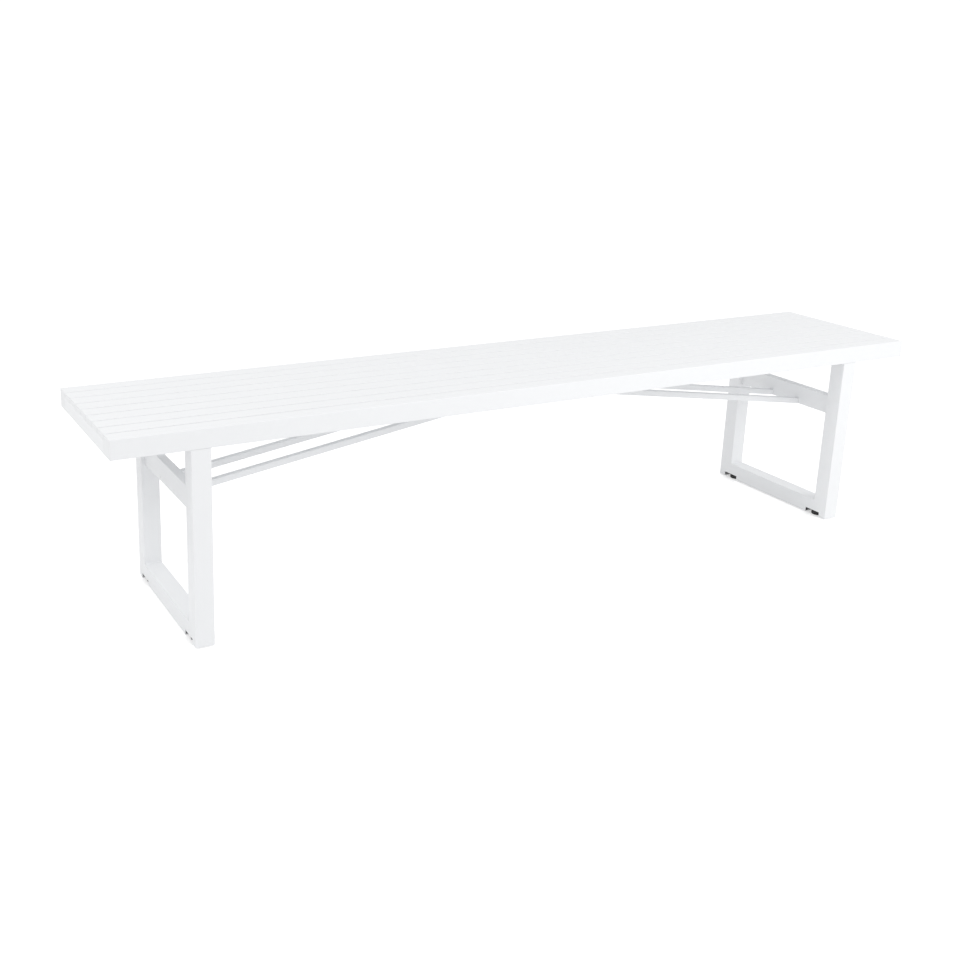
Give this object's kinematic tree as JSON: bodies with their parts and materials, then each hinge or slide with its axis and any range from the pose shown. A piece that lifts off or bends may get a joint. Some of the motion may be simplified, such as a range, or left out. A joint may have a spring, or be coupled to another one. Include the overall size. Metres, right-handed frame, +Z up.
{
  "type": "garden bench",
  "caption": "Long backless outdoor bench with a slatted metal seat, closed-loop legs set in from the ends, slanting braces and screw-adjusted levelling feet.",
  "frame": {"origin": "on the floor under the middle of the seat", "axes": "+X along the seat, +Y from the front to the back, +Z up"},
  "size_m": [2.03, 0.384, 0.452],
  "materials": {
    "white_powder_coat": "satin",
    "white_screw": "satin",
    "white_plastic": "matte",
    "black_nylon": "matte",
    "zinc_steel": "zinc plated",
    "plain_aluminium": "mill"
  },
  "bodies": {
    "frame": {"back_rail": "white_powder_coat", "brace_foot_plugs": "plain_aluminium", "brace_plate_bolts": "zinc_steel", "brace_plate_nuts": "zinc_steel", "brace_screws": "white_screw", "brace_top_plate": "white_powder_coat", "centre_bearer": "white_powder_coat", "front_rail": "white_powder_coat", "glide_housings": "black_nylon", "glide_nuts": "zinc_steel", "left_back_brace": "white_powder_coat", "left_back_post": "white_powder_coat", "left_bottom_rail": "white_powder_coat", "left_cross_rail": "white_powder_coat", "left_end_bearer": "white_powder_coat", "left_front_brace": "white_powder_coat", "left_front_post": "white_powder_coat", "left_leg_bearer": "white_powder_coat", "left_mid_bearer": "white_powder_coat", "left_top_plate": "white_powder_coat", "leg_bolts": "zinc_steel", "leg_nuts": "zinc_steel", "leg_washers": "zinc_steel", "post_top_plugs": "white_plastic", "rail_end_caps": "white_plastic", "right_back_brace": "white_powder_coat", "right_back_post": "white_powder_coat", "right_bottom_rail": "white_powder_coat", "right_cross_rail": "white_powder_coat", "right_end_bearer": "white_powder_coat", "right_front_brace": "white_powder_coat", "right_front_post": "white_powder_coat", "right_leg_bearer": "white_powder_coat", "right_mid_bearer": "white_powder_coat", "right_top_plate": "white_powder_coat", "slat_1": "white_powder_coat", "slat_2": "white_powder_coat", "slat_3": "white_powder_coat", "slat_4": "white_powder_coat", "slat_5": "white_powder_coat", "slat_6": "white_powder_coat", "slat_7": "white_powder_coat", "slat_end_caps": "white_plastic"},
    "left_front_glide": {"left_front_glide_pad": "black_nylon", "left_front_glide_stud": "zinc_steel"},
    "left_back_glide": {"left_back_glide_pad": "black_nylon", "left_back_glide_stud": "zinc_steel"},
    "right_front_glide": {"right_front_glide_pad": "black_nylon", "right_front_glide_stud": "zinc_steel"},
    "right_back_glide": {"right_back_glide_pad": "black_nylon", "right_back_glide_stud": "zinc_steel"}
  },
  "joints": [
    {"name": "left_front_glide_height", "type": "slide", "parent": "frame", "child": "left_front_glide", "axis": [0, 0, -1], "range_m": [0, 0.008]},
    {"name": "left_back_glide_height", "type": "slide", "parent": "frame", "child": "left_back_glide", "axis": [0, 0, -1], "range_m": [0, 0.008]},
    {"name": "right_front_glide_height", "type": "slide", "parent": "frame", "child": "right_front_glide", "axis": [0, 0, -1], "range_m": [0, 0.008]},
    {"name": "right_back_glide_height", "type": "slide", "parent": "frame", "child": "right_back_glide", "axis": [0, 0, -1], "range_m": [0, 0.008]}
  ]
}
